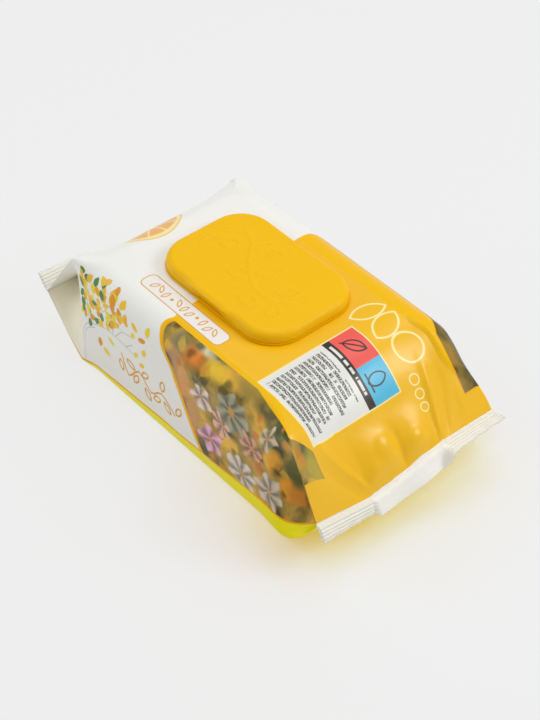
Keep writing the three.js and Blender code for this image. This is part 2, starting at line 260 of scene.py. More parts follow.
def film_loop():
    """Places round a section: (zone, position in it), from the near top edge right round."""
    loop = [("top", 2 * i / COLUMNS - 1) for i in range(COLUMNS)]
    loop += [("far", i) for i in range(SIDE_ROWS)]
    loop += [("base", 1 - 2 * i / COLUMNS) for i in range(COLUMNS)]
    loop += [("near", SIDE_ROWS - i) for i in range(SIDE_ROWS)]
    return loop


def ridge(x, y, a, b, width, height):
    """A soft fold of film along the line a to b, fading towards b."""
    ax, ay = a
    dx, dy = b[0] - ax, b[1] - ay
    t = ((x - ax) * dx + (y - ay) * dy) / (dx * dx + dy * dy)
    if t < -0.3 or t > 1.3:
        return 0.0
    off = hypot(x - ax - dx * t, y - ay - dy * t)
    spread = width * (0.35 + 0.9 * clamp(t))
    return height * exp(-(off / spread) ** 2) * smooth(t, -0.25, 0.12) * (1 - smooth(t, 0.55, 1.2))


def dome(x, y, at, radii, height):
    """A puffed-up spot of film."""
    out = ((x - at[0]) / radii[0]) ** 2 + ((y - at[1]) / radii[1]) ** 2
    return height * max(0.0, 1 - out) ** 1.6


def top_relief(x, y):
    """How far the film of the top stands off its plain form: folds at the seals, slack round the lid."""
    lift = 0.0
    if x > 40:
        lift += sum(ridge(x, y, *fold) for fold in YELLOW_FOLDS)
        lift += sum(dome(x, y, *puff) for puff in YELLOW_PUFFS)
    if x < -55:
        lift += sum(ridge(x, y, *fold) for fold in WHITE_FOLDS)
    off_lid = hypot(max(abs(x - LID_X) - 44, 0), max(abs(y - LID_Y) - 30, 0))
    wave = sin(x * 0.11 + 0.7) * sin(y * 0.13 + 0.3 * sin(x * 0.05))
    return lift + SLACK * smooth(off_lid, 1, 12) * wave


def near_relief(x, z):
    """Slack of the film over the near side wall."""
    fade = smooth(z, 4, 14) * (1 - smooth(z, 48, 60)) * (1 - smooth(abs(x), 66, 80))
    return fade * (0.5 * sin(x * 0.06 + 0.5) * sin(z * 0.09) + 0.16 * sin(x * 0.21 + z * 0.12))


def print_along(x):
    """Print coordinate along the pack: millimetres of film from the middle."""
    extra = abs(x) - 62
    return copysign(abs(x) + 0.57 * max(extra, 0) ** 2 / (abs(extra) + 8), x)


def skin_point(x, zone, place, section):
    """Place of a film vertex and its print coordinates."""
    s = print_along(x)
    if zone in ("near", "far"):
        side = -1 if zone == "near" else 1
        out, z, t = side_point(section, side, place)
        if zone == "near" and place > ROWS["arc"] / 2:
            out += near_relief(x, z)
        return (x, side * out, z), (s, side * t)
    r = (section["near"] if place < 0 else section["far"])[1]
    if zone == "top":
        y = place * (HALF - r)
        edge = 1 - smooth(abs(place), 0.8, 1)
        return (x, y, top_height(section, y) + top_relief(x, y) * edge), (s, y)
    y = place * (HALF - section["base_round"])
    return (x, y, base_height(section, y)), (s, copysign(228 - abs(y), y))


def yellow_fin_angle(y, layers):
    """Bend of the yellow fin in degrees: folded well down, with its far corner turned up."""
    inner = HALF - GUSSET
    outer = clamp((abs(y) / HALF - 0.4) / 0.6)
    single = -62 + 7 * y / inner + 4 * sin(y * 0.23)
    doubled = lerp(-78, -62, outer) if y < 0 else lerp(4, 18, outer)
    turned = layers if y < 0 else smooth(y, inner - 5, inner + 1)
    return lerp(single, doubled, turned) + 2.0 * layers * sin(y * 0.7)


def white_fin_angle(y):
    """Bend of the white fin in degrees: hanging, with its near corner turned up."""
    return -36 + 90 * smooth(-y / HALF, 0.05, 0.75)


def bent(run, angle):
    """Way out, way up and bend at `run` along a fin that bends in its first third, then runs straight."""
    out, rise = 0.0, 0.0
    steps = 8
    for i in range(steps):
        along = angle * smooth((i + 0.5) / steps * run, 0, FIN * 0.3)
        out += run / steps * cos(along)
        rise += run / steps * sin(along)
    return out, rise, angle * smooth(run, 0, FIN * 0.3)


def fin_point(end, run, zone, place):
    """Place of a vertex of an end fin, `run` out from the seal: ribs, cut teeth and the bend."""
    if zone in ("top", "base"):
        y = place * HALF
        share = 0.5 if zone == "top" else -0.5
    else:
        y = -HALF if zone == "near" else HALF
        share = 0.5 - place / SIDE_ROWS
    side = end["side"]
    inner = HALF - GUSSET
    layers = smooth(abs(y), inner - 1.2, inner + 0.6)
    length = FIN - end["trim"] * layers + 0.4 * sin(y * 0.09 + 1)
    tooth = TOOTH_DEPTH * (abs((y / TOOTH_PITCH) % 1 - 0.5) * 2 - 0.5)
    run = run * (length + tooth * (run / FIN) ** 6) / FIN
    angle = yellow_fin_angle(y, layers) if side > 0 else white_fin_angle(y)
    out, rise, bend = bent(run, radians(angle))
    ribbed = smooth(run, 0.8, 1.6) * (1 - smooth(run, length - 1.4, length - 0.6))
    rib = 0.26 * ribbed * layers * cos(run / FIN * FIN_RIBS * 2 * pi)
    pucker = 0.06 * (1 - layers) * sin(run * 2.2) * sin(y * 0.9)
    taper = lerp(1, 0.35, smooth(run, length - 2.5, length))
    off = share * FIN_THICKNESS * lerp(0.6, 1, layers) * taper + rib + pucker
    if layers < 0.5 and side > 0:
        off += 0.7 * smooth(run, 0, 2)
    x = side * (SEAL_X + out - off * sin(bend))
    return (x, y, seal_height(end, y) + rise + off * cos(bend)), (side * (140 + run), y)


def body_stations():
    """X of the sections: every 0.9 mm on the ends, further apart on the flat."""
    ends = np.linspace(56, SEAL_X - 0.4, 52)
    flat = np.linspace(-56, 56, 84)[1:-1]
    return [*(-ends[::-1]), *flat, *ends]


def rim_faces(count, first, across):
    """Triangles that close the outer edge of a fin, stepping over its two faces side by side."""
    low, high, last = 0, count, COLUMNS + SIDE_ROWS // 2
    while low < last or high > last:
        if high == last or (low < last and across[low + 1] <= across[high - 1]):
            yield (first + low, first + low + 1, first + high % count)
            low += 1
        else:
            yield (first + low, first + high - 1, first + high % count)
            high -= 1


def make_mesh(name, points, faces, soft=True):
    """A mesh from points in millimetres, shaded smooth or flat."""
    mesh = bpy.data.meshes.new(name)
    mesh.from_pydata([(x * MM, y * MM, z * MM) for x, y, z in points], [], faces)
    for poly in mesh.polygons:
        poly.use_smooth = soft
    return mesh


def body_ring(x, loop):
    """Places and print coordinates of one section of the body."""
    section = section_at(x)
    return [skin_point(x, *place, section) for place in loop]


def film_mesh():
    """The whole film as one closed mesh, with the print coordinates as its UV map."""
    loop = film_loop()
    runs = np.linspace(0, FIN, 40)
    white_fin = [[fin_point(WHITE_END, run, *place) for place in loop] for run in runs[::-1]]
    body = [body_ring(x, loop) for x in body_stations()]
    yellow_fin = [[fin_point(YELLOW_END, run, *place) for place in loop] for run in runs]
    rings = white_fin + body + yellow_fin
    points = [point for ring in rings for point, _ in ring]
    prints = [printed for ring in rings for _, printed in ring]
    count = len(loop)
    faces, slots = [], []
    for i in range(len(rings) - 1):
        on_body = len(white_fin) <= i < len(white_fin) + len(body) - 1
        a, b = i * count, (i + 1) * count
        for j in range(count):
            k = (j + 1) % count
            faces.append((a + j, b + j, b + k, a + k))
            slots.append(ZONE_SLOT[loop[j][0] if on_body else "fin"])
    for first, turned in ((0, False), ((len(rings) - 1) * count, True)):
        for face in rim_faces(count, first, [points[first + j][1] for j in range(count)]):
            faces.append(face[::-1] if turned else face)
            slots.append(ZONE_SLOT["fin"])
    mesh = make_mesh("film_wrap", points, faces)
    layer = mesh.uv_layers.new(name="print_mm")
    for poly in mesh.polygons:
        poly.material_index = slots[poly.index]
        for index in poly.loop_indices:
            layer.data[index].uv = prints[mesh.loops[index].vertex_index]
    return mesh


def add_object(name, mesh, body):
    obj = bpy.data.objects.new(name, mesh)
    bpy.context.scene.collection.objects.link(obj)
    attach(obj, body)
    return obj


def dial(node, values):
    """Sets sockets of a node, given by name, to plain values."""
    for name, value in values.items():
        node.inputs[name].default_value = value


def plastic(name, colour, roughness):
    """A plain principled material: (material, its shader node)."""
    material = bpy.data.materials.new(name)
    material.use_nodes = True
    shader = material.node_tree.nodes["Principled BSDF"]
    dial(shader, {"Base Color": colour, "Roughness": roughness})
    return material, shader


# Shader maths

def maths(operation, swapped=False):
    """A method that adds one maths node to the net of a Val."""
    def method(self, *others):
        values = (*others, self) if swapped else (self, *others)
        return self.net.math(operation, *values)
    return method


class Val:
    """A socket that can be added, multiplied and compared like a number."""

    def __init__(self, net, socket):
        self.net, self.socket = net, socket

    __add__ = maths("ADD")
    __sub__ = maths("SUBTRACT")
    __rsub__ = maths("SUBTRACT", swapped=True)
    __mul__ = __rmul__ = maths("MULTIPLY")
    __truediv__ = maths("DIVIDE")
    abs = maths("ABSOLUTE")
    least = maths("MINIMUM")
    most = maths("MAXIMUM")


class Net:
    """Builds nodes in one tree."""

    def __init__(self, tree):
        self.tree = tree

    def node(self, kind, *values, **settings):
        """A new node with these settings, its first inputs fed with the values."""
        made = self.tree.nodes.new(kind)
        for name, value in settings.items():
            setattr(made, name, value)
        for socket, value in zip(made.inputs, values):
            self.feed(socket, value)
        return made

    def feed(self, socket, value):
        if isinstance(value, Val):
            self.tree.links.new(value.socket, socket)
        else:
            socket.default_value = value

    def math(self, operation, *values, clamp_it=False):
        made = self.node("ShaderNodeMath", *values, operation=operation, use_clamp=clamp_it)
        return Val(self, made.outputs[0])

    def mix(self, amount, under, over, blend="MIX"):
        """Colour `over` laid on `under` where amount is 1."""
        made = self.node("ShaderNodeMix", amount, data_type="RGBA", blend_type=blend)
        self.feed(made.inputs[6], under)
        self.feed(made.inputs[7], over)
        return Val(self, made.outputs[2])

    def inside(self, distance, soft=0.12):
        """1 where distance is below 0, with an edge of that softness."""
        return self.math("MULTIPLY_ADD", distance, -0.5 / soft, 0.5, clamp_it=True)

    def parts(self, socket):
        """The three parts of a vector or colour."""
        return [Val(self, part) for part in self.node("ShaderNodeSeparateXYZ", Val(self, socket)).outputs]

    def vector(self, *parts):
        return self.node("ShaderNodeCombineXYZ", *parts).outputs[0]

    def length(self, a, b):
        return self.math("SQRT", a * a + b * b)

    def group(self, name, labels, build, kind):
        """A new node group; build gets its net and inputs and returns what it puts out."""
        tree = bpy.data.node_groups.new(name, "ShaderNodeTree")
        for label in labels.split():
            tree.interface.new_socket(label, in_out="INPUT", socket_type="NodeSocketFloat")
        tree.interface.new_socket("out", in_out="OUTPUT", socket_type=kind)
        inner = Net(tree)
        given = inner.node("NodeGroupInput")
        result = build(inner, *[Val(inner, socket) for socket in given.outputs[:-1]])
        inner.feed(inner.node("NodeGroupOutput").inputs[0], result)
        return tree

    def use(self, name, labels, build, values, kind="NodeSocketFloat"):
        """What a node group makes of the values; the group is built at its first use."""
        tree = bpy.data.node_groups.get(name) or self.group(name, labels, build, kind)
        return Val(self, self.node("ShaderNodeGroup", *values, node_tree=tree).outputs[0])

    def cells(self, s, t, size, offset):
        """Scattered points about `size` apart: (distance in sizes, the point's s and t, random values)."""
        made = self.node("ShaderNodeTexVoronoi", voronoi_dimensions="2D")
        self.tree.links.new(self.vector(s, t + offset), made.inputs["Vector"])
        dial(made, {"Scale": 1 / size})
        x, y, _ = self.parts(made.outputs["Position"])
        return Val(self, made.outputs["Distance"]), x, y - offset, self.parts(made.outputs["Color"])

    def tone(self, value, tones):
        """One of the colours, picked by a value from 0 to 1."""
        made = self.node("ShaderNodeValToRGB")
        made.color_ramp.interpolation = "CONSTANT"
        while len(made.color_ramp.elements) < len(tones):
            made.color_ramp.elements.new(0.5)
        for i, (element, colour) in enumerate(zip(made.color_ramp.elements, tones)):
            element.position = i / len(tones)
            element.color = srgb(*colour)
        self.feed(made.inputs[0], value)
        return Val(self, made.outputs[0])

    def turned(self, s, t, x, y, angle):
        """Print coordinates about a point, turned by an angle in radians."""
        c, k = self.math("COSINE", angle), self.math("SINE", angle)
        a, b = s - x, t - y
        return a * c + b * k, b * c - a * k

    def oval(self, s, t, at, radii, angle=0.0):
        """Roughly the distance outside an ellipse."""
        def build(net, s, t, x, y, rx, ry, angle):
            a, b = net.turned(s, t, x, y, angle)
            return (net.length(a / rx, b / ry) - 1.0) * rx.least(ry)
        labels = "s t x y rx ry angle"
        return self.use("print_oval", labels, build, (s, t, *at, *radii, radians(angle)))

    def leaf(self, s, t, at, length, width, angle):
        """Distance outside a leaf with two pointed ends."""
        def build(net, s, t, x, y, radius, shift, angle):
            a, b = net.turned(s, t, x, y, angle)
            return net.length(a, b.abs() + shift) - radius
        radius = (length ** 2 + width ** 2) / (4 * width)
        labels = "s t x y radius shift angle"
        values = (s, t, *at, radius, radius - width / 2, angle * (pi / 180))
        return self.use("print_leaf", labels, build, values)

    def rounded(self, s, t, middle, half, corner, angle):
        """Distance outside a rectangle with round corners."""
        a, b = self.turned(s, t, *middle, radians(angle))
        qa = a.abs() - (half[0] - corner)
        qb = b.abs() - (half[1] - corner)
        return self.length(qa.most(0), qb.most(0)) + qa.most(qb).least(0) - corner

    def stroke(self, s, t, a, b):
        """Distance from the line a to b."""
        def build(net, s, t, ax, ay, bx, by):
            dx, dy, ds, dt = bx - ax, by - ay, s - ax, t - ay
            along = ((ds * dx + dt * dy) / (dx * dx + dy * dy)).most(0).least(1)
            return net.length(ds - along * dx, dt - along * dy)
        return self.use("print_stroke", "s t ax ay bx by", build, (s, t, *a, *b))

    def strokes(self, s, t, lines):
        """Distance from the nearest of several lines."""
        return nearest([self.stroke(s, t, a, b) for a, b in lines])

    def noise(self, s, t, scale, detail=2.0, offset=0.0):
        """Noise over the print, about 0 to 1; scale is in cells a millimetre."""
        made = self.node("ShaderNodeTexNoise")
        self.tree.links.new(self.vector(s, t, offset), made.inputs["Vector"])
        dial(made, {"Scale": scale, "Detail": detail})
        return Val(self, made.outputs[0])


def nearest(distances):
    """The least of several distances."""
    least = distances[0]
    for distance in distances[1:]:
        least = least.least(distance)
    return least


def print_place(net):
    """The print coordinates of the film as two values."""
    return net.parts(net.node("ShaderNodeUVMap", uv_map="print_mm").outputs[0])[:2]


def curve_points(points, steps):
    """Points along a smooth curve through the given ones."""
    def between(a, b, c, d, f):
        slope, square, cube = c - a, 2 * a - 5 * b + 4 * c - d, 3 * b - a - 3 * c + d
        return 0.5 * (2 * b + slope * f + square * f * f + cube * f ** 3)

    out = []
    padded = [points[0], *points, points[-1]]
    for i in range(len(points) - 1):
        for k in range(steps):
            out.append(tuple(between(*four, k / steps) for four in zip(*padded[i:i + 4])))
    out.append(points[-1])
    return out


# Print colours, and one warm white that is painted light, not print
WHITE = srgb(245, 245, 240)
YELLOW = srgb(248, 192, 0)
ORANGE = srgb(246, 172, 18)
OCHRE = srgb(226, 160, 34)
CREAM = srgb(255, 240, 170)
PALE_LINE = srgb(255, 242, 170)
PAINTED_GLOW_WHITE = srgb(255, 248, 224)
DULLED = (0.6, 0.56, 0.5, 1)

# Print, in millimetres of film: s along the pack, t across it and down its sides
PANEL_GAP = 3.0
PANEL_OUTLINE = 1.1
FAR_OUTLINE = 0.6
FAR_PANEL_END = 106.0
FOOT_T = 112.8
PANEL_LEFT = 47.6
PANEL_ROW = 2.62
BAND_T = -5.4
SQUARES_T = -1.2
BLUE_LEFT = 67.4
CITRUS_AT = (-78.0, -10.0)
CITRUS_RADIUS = 18.2
CITRUS_PARTS = 10

# Patches of the near garden: (middle, radii, colour)
GARDEN_PATCHES = [
    ((1, -57), (5, 9), (176, 132, 96)), ((3, -51), (6, 3.5), (104, 108, 74)),
    ((13, -53), (7, 4), (222, 128, 40)), ((18, -47), (6, 2.5), (206, 204, 168)),
    ((25, -46), (6, 2.5), (84, 92, 58)), ((29, -52), (8, 4), (240, 184, 46)),
    ((37, -50), (7, 3), (232, 170, 52)), ((45, -48), (8, 3), (150, 124, 56)),
    ((54, -47), (8, 3), (140, 120, 52)), ((64, -50), (9, 4), (84, 76, 42)),
    ((74, -54), (8, 5), (62, 66, 38)), ((84, -58), (7, 6), (58, 76, 44)),
    ((8, -71), (4, 12), (204, 140, 84)), ((15, -86), (4, 10), (190, 140, 90)),
    ((41, -86), (6, 6), (232, 172, 56)), ((73, -75), (7, 6), (226, 158, 44)),
    ((78, -79), (5, 4), (60, 58, 34)), ((84, -86), (7, 6), (222, 150, 40)),
    ((91, -88), (7, 6), (196, 124, 40)), ((88, -75), (6, 8), (70, 84, 46)),
    ((96, -49), (8, 3), (60, 78, 40)), ((102, -46), (6, 5), (172, 150, 44)),
    ((101, -84), (9, 10), (92, 66, 34))]
# Large blossoms in front of it: (middle, radius, petals, colour)
BLOSSOMS = [
    ((44, -65), 11.5, 7, (158, 154, 128)), ((21, -71), 8.5, 5, (224, 200, 188)),
    ((56, -76), 9.0, 6, (204, 150, 122)), ((35, -78), 7.5, 6, (216, 170, 148)),
    ((70, -63), 7.5, 5, (200, 184, 152)), ((28, -93), 9.0, 5, (230, 168, 190)),
    ((70, -95), 11.0, 6, (200, 184, 166)), ((50, -98), 10.5, 7, (212, 198, 184))]


def field_edge(net, t):
    """Where white turns to yellow, as a print coordinate along the pack, right round it."""
    bow = (t + 53.0).most(0)
    near = (t + 63.7) * -0.57 - 5.7 + bow * bow * 0.08
    on_near = net.inside(t + 43.5, 1.5)
    upper = (t + 32.0) * -0.055 - 12.5
    far = (t - 46.0) * 0.30 - 16.5
    on_far = net.inside(46.0 - t, 1.0)
    return (near * on_near + upper * (1.0 - on_near)) * (1.0 - on_far) + far * on_far


def field_colour(net, s, t):
    """White end, yellow end, the two picture panels and the lime foot, over the whole film."""
    edge = field_edge(net, t)
    # The lower sides of the white end are tinted a warm white: painted light, standing in for warm light from
    # the yellow film.
    painted_glow = net.inside(s + 82.0, 8.0) * net.inside(70.0 - t.abs(), 6.0)
    colour = net.mix(net.inside(edge - s), net.mix(painted_glow, WHITE, PAINTED_GLOW_WHITE), YELLOW)
    start = edge + PANEL_GAP - s
    near_end = net.inside(t + 56.0, 0.3) * 60.0 + 106.2
    outside = (t - near_panel_top(net, s)).most(s - near_end)
    colour = net.mix(net.inside(outside.most(start - PANEL_OUTLINE)), colour, ORANGE)
    colour = net.mix(net.inside(outside.most(start)), colour, near_garden(net, s, t))
    far_top = 50.6 - (s - 62.0).most(0).least(13.0) * 0.46
    outside = (far_top - t).most(start).most(s - FAR_PANEL_END)
    colour = net.mix(net.inside(outside - FAR_OUTLINE), colour, ORANGE)
    colour = net.mix(net.inside(outside), colour, far_garden(net, s, t))
    foot = FOOT_T - (s + 74.0) * 0.05 - t.abs()
    colour = net.mix(net.inside(foot - PANEL_OUTLINE), colour, ORANGE)
    lime = net.mix(net.noise(s, t, 0.05), srgb(255, 236, 0), srgb(255, 250, 8))
    return net.mix(net.inside(foot), colour, lime)


def near_panel_top(net, s):
    """Upper edge of the picture on the near side: level, dipping with the corner of the pack."""
    dip = net.math("SMOOTH_MIN", (s - 50.0).most(0) * -0.26, 0.0, 1.0)
    rise = (s - 88.0).most(0).least(8.5) * 1.54 + (s - 96.5).most(0) * 0.45
    return dip - 45.3 + rise


def wander(net, s, t, seed):
    """Print coordinates shifted about by a few millimetres, so that edges drawn there wander."""
    ws = s + (net.noise(s, t, 0.09, 2.0, 3.0 + seed) - 0.5) * 9.0
    wt = t + (net.noise(s, t, 0.09, 2.0, 9.0 + seed) - 0.5) * 9.0
    return ws, wt


def foliage(net, s, t, seed):
    """Dark green running into gold in soft patches."""
    depth = net.math("MULTIPLY_ADD", net.noise(s, t, 0.06, 3.0, seed), 3.2, -1.1, clamp_it=True)
    return net.mix(depth, soft_tone(56, 60, 32), soft_tone(206, 164, 70))


def blooms(net, s, t, seed, colour):
    """Small scattered golden and dark dots."""
    out, _, _, chance = net.cells(s, t, 7.0, seed)
    tones = [(230, 152, 40), (64, 68, 34), (240, 194, 70), (54, 52, 30), (220, 126, 44), (150, 140, 66)]
    shown = net.inside(out - chance[1] * 0.2 - 0.24, 0.14) * net.inside(0.42 - chance[2], 0.02)
    return net.mix(shown * 0.7, colour, net.tone(chance[0], tones))


def near_garden(net, s, t):
    """A blurred garden: foliage, a field of golden blooms, and large pale blossoms in front."""
    s, t = wander(net, s, t, 0.0)
    colour = foliage(net, s, t, 0.0)
    for at, radii, hue in GARDEN_PATCHES:
        colour = net.mix(net.inside(net.oval(s, t, at, radii), 1.7) * 0.9, colour, soft_tone(*hue))
    colour = blooms(net, s, t, 0.0, colour)
    for flower in BLOSSOMS:
        colour = blossom(net, s, t, colour, *flower)
    return net.mix(net.noise(s, t, 0.35, 2.0, 5.0) * 0.2, colour, srgb(110, 102, 60))


def far_garden(net, s, t):
    """The darker garden of the far side: foliage and small blooms."""
    seed = 40.0
    s, t = wander(net, s, t, seed)
    return net.mix(0.6, blooms(net, s, t, seed, foliage(net, s, t, seed)), srgb(50, 50, 30))


def blossom(net, s, t, colour, at, radius, petals, hue):
    """A large pale flower: round petals that darken towards a small golden heart."""
    ds, dt = s - at[0], t - at[1]
    out = net.length(ds, dt) / radius
    petal = net.math("COSINE", net.math("ARCTAN2", dt, ds) * petals + at[0])
    pale, deep = soft_tone(*hue), soft_tone(*[c * 0.62 for c in hue])
    shade = net.math("MULTIPLY_ADD", petal, -0.45, 0.3) + (1.0 - out) * 0.6
    tone = net.mix(net.inside(out - 0.16, 0.06), net.mix(shade, pale, deep), soft_tone(190, 134, 60))
    return net.mix(net.inside(out - 0.88 - petal * 0.12, 0.06), colour, tone)


def soft_tone(r, g, b):
    """A colour as the shaded side shows it, made lighter to allow for that shade."""
    return (*[min(c * 1.38, 1.0) for c in srgb(r, g, b)[:3]], 1.0)


def leaves(net, s, t, colour):
    """A crown of small leaves on thin grey twigs, with some let go."""
    rng = np.random.default_rng(7)
    tones = [(240, 178, 28), (232, 160, 40), (248, 204, 48), (244, 220, 70), (92, 146, 78), (244, 196, 84)]
    bends = [(-76, -112), (-75.5, -101), (-72, -92), (-63, -85), (-50, -80), (-40, -80), (-30, -82)]
    trunk = curve_points(bends, 3)
    twigs = list(zip(trunk, trunk[1:]))
    twigs += [((x0 + 1.7, y0 - 1.2), (x1 + 1.7, y1 - 1.2)) for (x0, y0), (x1, y1) in twigs[:9]]
    twigs += [
        ((-66, -87), (-67, -76)), ((-67, -76), (-63, -62)), ((-54, -81), (-53, -70)),
        ((-53, -71), (-46, -60)), ((-44, -80), (-38, -73)), ((-38, -73), (-29, -71)),
        ((-46, -80), (-43, -70)), ((-36, -81), (-30, -76))]
    colour = net.mix(net.inside(net.strokes(s, t, twigs) - 0.22, 0.18) * 0.7, colour, srgb(162, 166, 176))
    for layer in range(4):
        _, x, y, chance = net.cells(s, t, 5.8, 31.0 * layer)
        crown = net.oval(x, y, (-54, -66), (22, 14), 18.0).least(net.oval(x, y, (-68, -72), (8, 15)))
        shape = net.leaf(s, t, (x, y), 5.8, 3.4, chance[1] * 120.0 + 30.0)
        shown = net.inside(shape, 0.16) * net.inside(crown, 0.01) * net.inside(chance[2] - 0.7, 0.01)
        colour = net.mix(shown, colour, net.tone(chance[0], tones))
    fallen = [
        (-27.5, -62), (-29, -69), (-22, -67), (-18, -59), (-21, -75), (-57.5, -92.5), (-48, -86), (-53, -96),
        (-28, -81), (-24, -85)]
    for at in fallen:
        size = rng.uniform(5.0, 6.6)
        shape = net.leaf(s, t, at, size, size * 0.56, rng.uniform(30, 150))
        colour = net.mix(net.inside(shape, 0.2), colour, srgb(*tones[rng.integers(0, 4)]))
    return colour


def vine(net, s, t, colour):
    """A winding stem with leaves in outline, low on the white side."""
    stem = curve_points([(-40, -88), (-35.5, -99), (-27, -91), (-18, -98), (-9, -92), (1, -98)], 3)
    places = [
        ((-41, -96), 100), ((-33, -90.5), 150), ((-29.5, -97.5), 60), ((-22, -90), 40), ((-20.5, -101), 130),
        ((-13, -98.5), 30), ((-8, -87), 80), ((-4.5, -98), 140), ((4, -94), 60)]
    outlines = [net.leaf(s, t, at, 6.4, 3.2, angle).abs() for at, angle in places]
    line = nearest([net.strokes(s, t, list(zip(stem, stem[1:]))), *outlines])
    return net.mix(net.inside(line - 0.5, 0.2), colour, OCHRE)


def pill(net, s, t, colour):
    """White lozenge with an orange outline and a row of little leaves and dots."""
    middle_t = -37.1
    shape = net.rounded(s, t, (-11.7, middle_t), (29.4, 4.7), 3.2, -0.6)
    colour = net.mix(net.inside(shape), colour, srgb(242, 240, 236))
    marks = []
    for i in range(11):
        at = (-34 + i * 4.4, middle_t + 0.7 * sin(i * 1.9))
        if i % 4 == 3:
            marks.append(net.oval(s, t, at, (0.9, 0.9)))
        else:
            marks.append(net.leaf(s, t, at, 4.9, 1.9, (58, -50, 75)[i % 3]).abs() - 0.3)
    return net.mix(net.inside(nearest([shape.abs() - 0.28, *marks]), 0.15), colour, OCHRE)


def dash_rows(net, s, t, end):
    """1 where a row of short dashes has ink, rows PANEL_ROW apart and of uneven length, up to `end`."""
    row = (t + 41.0) * (1 / PANEL_ROW)
    row_index, in_row = net.math("FLOOR", row), net.math("FRACT", row)
    jitter = net.math("FRACT", net.math("SINE", row_index * 12.9898) * 43758.5)
    word = net.noise(s + jitter * 57.0, row_index * 3.1, 0.34, 0.0, 2.0)
    dash = net.noise(s * 2.1, t * 1.5 + row_index * 7.0, 1.0, 1.0, 8.0)
    row_end = end - 3.0 - jitter * 9.0
    ink = net.inside((in_row - 0.5).abs() - 0.34, 0.06) * net.inside(0.46 - dash, 0.05)
    ink = ink * net.inside(0.31 - word, 0.02)
    return ink * net.inside((PANEL_LEFT + 2.9 - s).most(s - row_end).most(t + 8.3).most(-41.2 - t))


def info_panel(net, s, t, colour):
    """Plain information panel: pale field with rows of dashes, a dark band, a coral and a blue field."""
    end = (-26.6 - t).most(0) * 0.38 + 88.1
    outside = (PANEL_LEFT - s).most(s - end).most(t - 13.2).most(-42.6 - t)
    colour = net.mix(net.inside(outside - 0.7), colour, CREAM)
    colour = net.mix(net.inside(outside), colour, srgb(234, 234, 228))
    colour = net.mix(dash_rows(net, s, t, end), colour, srgb(48, 46, 44))
    colour = net.mix(net.inside(outside.most(BAND_T - t)), colour, srgb(44, 36, 30))
    band = net.noise(s, 4.0, 0.55, 0.0, 6.0)
    marks = net.inside((t + 3.3).abs() - 0.75, 0.1) * net.inside(0.46 - band, 0.03)
    marks = marks * net.inside((51 - s).most(s - 84))
    colour = net.mix(marks, colour, srgb(232, 230, 224))
    square = outside.most(SQUARES_T - t)
    colour = net.mix(net.inside(square), colour, srgb(246, 92, 82))
    colour = net.mix(net.inside(square.most(BLUE_LEFT - s)), colour, srgb(78, 190, 226))
    sprig = net.leaf(s, t, (57, 6.2), 11, 6, 40).abs().least(net.stroke(s, t, (52, 1.8), (61, 10)))
    drop = net.leaf(s, t, (77, 5.5), 10, 6.6, 90).abs().least(net.stroke(s, t, (72, 1.2), (82, 1.2)))
    return net.mix(net.inside(sprig.least(drop) - 0.42, 0.15), colour, srgb(40, 34, 34))


def outlines(net, s, t, colour):
    """Large thin outlines of drops and a row of rings, pale on the yellow."""
    drops = [
        net.leaf(s, t, (44.5, 26), 19, 9, 78), net.leaf(s, t, (56, 26.5), 19, 11, 112),
        net.oval(s, t, (71.5, 28.5), (9.0, 7.2), 20)]
    circles = (((87, 23), 2.6), ((94, 22.4), 2.4), ((100.5, 21.8), 2.2))
    rings = [net.oval(s, t, at, (r, r)) for at, r in circles]
    colour = net.mix(net.inside(nearest([drop.abs() for drop in drops]) - 0.5, 0.15), colour, PALE_LINE)
    return net.mix(net.inside(nearest([ring.abs() for ring in rings]) - 0.32, 0.15), colour, PALE_LINE)


def citrus(net, s, t, colour):
    """Part of a citrus slice that runs off the white end."""
    ds, dt = s - CITRUS_AT[0], t - CITRUS_AT[1]
    out = net.length(ds, dt)
    turn = net.math("ARCTAN2", dt, ds) * (CITRUS_PARTS / (2 * pi))
    spoke = (net.math("FRACT", turn + 0.3) - 0.5).abs() * out * (2 * pi / CITRUS_PARTS)
    colour = net.mix(net.inside(out - CITRUS_RADIUS), colour, srgb(244, 202, 96))
    colour = net.mix(net.inside(out - (CITRUS_RADIUS - 0.7), 0.3), colour, srgb(252, 234, 172))
    flesh = net.mix(net.noise(s, t, 0.5), srgb(240, 168, 84), srgb(250, 198, 128))
    edge = (out - (CITRUS_RADIUS - 2.9)).most(0.5 - spoke).most(2.0 - out)
    return net.mix(net.inside(edge, 0.4), colour, flesh)


def film_material(name, shine, *extras):
    """Satin laminate with the fields of the print and the shapes of one zone."""
    material, shader = plastic(name, WHITE, 0.34)
    dial(shader, {"Specular IOR Level": shine})
    net = Net(material.node_tree)
    s, t = print_place(net)
    colour = net.use("print_field", "s t", field_colour, (s, t), "NodeSocketColor")
    for extra in extras:
        colour = extra(net, s, t, colour)
    colour = net.mix(net.noise(s, t, 0.8, 3.0) * 0.08, colour, DULLED, "MULTIPLY")
    net.feed(shader.inputs["Base Color"], colour)
    net.feed(shader.inputs["Roughness"], net.noise(s, t, 0.12, 3.0) * 0.1 + 0.27)
    bump = net.node("ShaderNodeBump")
    dial(bump, {"Strength": 0.35, "Distance": 0.0004})
    net.feed(bump.inputs["Height"], net.noise(s, t, 0.12, 1.0, 4.0))
    net.tree.links.new(bump.outputs[0], shader.inputs["Normal"])
    return material


def fin_material():
    """Unprinted film of the end fins: warm white, a little light through it."""
    material, shader = plastic("film_fin", srgb(243, 240, 230), 0.42)
    net = Net(material.node_tree)
    s, t = print_place(net)
    single = net.inside(t.abs() - (HALF - GUSSET), 0.6)
    colour = net.mix(single, srgb(240, 237, 226), srgb(255, 253, 244))
    colour = net.mix(net.noise(s, t, 0.3, 3.0) * 0.08, colour, srgb(226, 218, 196))
    net.feed(shader.inputs["Base Color"], colour)
    dial(shader, {"Subsurface Weight": 0.25, "Subsurface Radius": (0.003, 0.0026, 0.002)})
    return material


